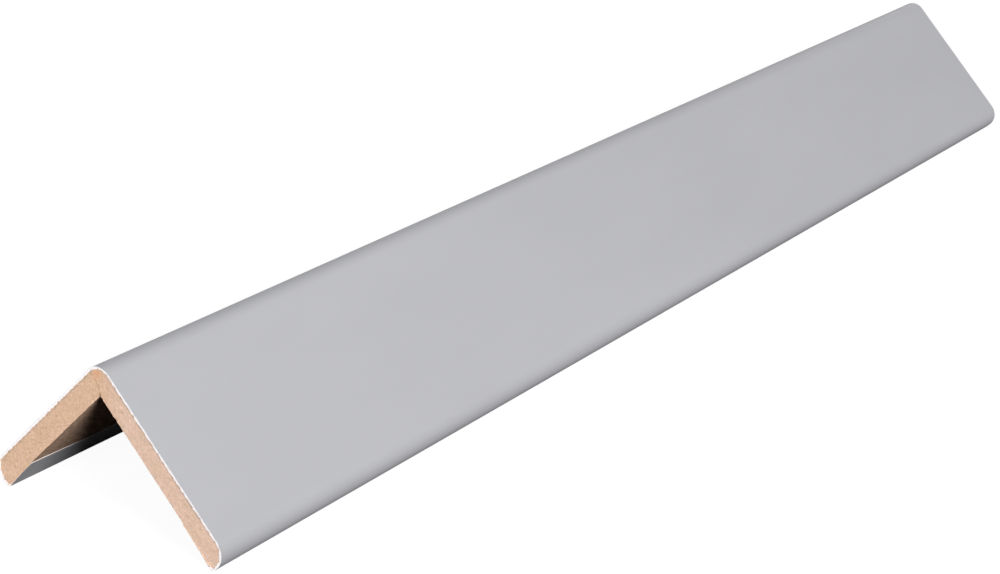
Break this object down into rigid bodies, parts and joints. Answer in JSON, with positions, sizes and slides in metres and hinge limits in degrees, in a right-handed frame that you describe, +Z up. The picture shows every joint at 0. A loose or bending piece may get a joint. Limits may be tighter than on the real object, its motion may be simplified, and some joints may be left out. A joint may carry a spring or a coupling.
{
  "type": "corner trim strip",
  "caption": "Foil-wrapped MDF angle moulding with a rounded outer corner. It covers the outside corner of a wall, and stands here on its long edges.",
  "frame": {"origin": "on the floor under the middle of the strip, which stands on its two long edges with the corner up", "axes": "+Y along the strip, +X across it, +Z up towards the corner"},
  "size_m": [0.0374, 0.216, 0.0212],
  "materials": {
    "mdf": "raw MDF, sawn at the ends",
    "foil": "satin grey, white where it is cut"
  },
  "bodies": {
    "root": {"mdf_strip_right": "mdf", "mdf_strip_left": "mdf", "foil_wrap": "foil"}
  },
  "joints": []
}
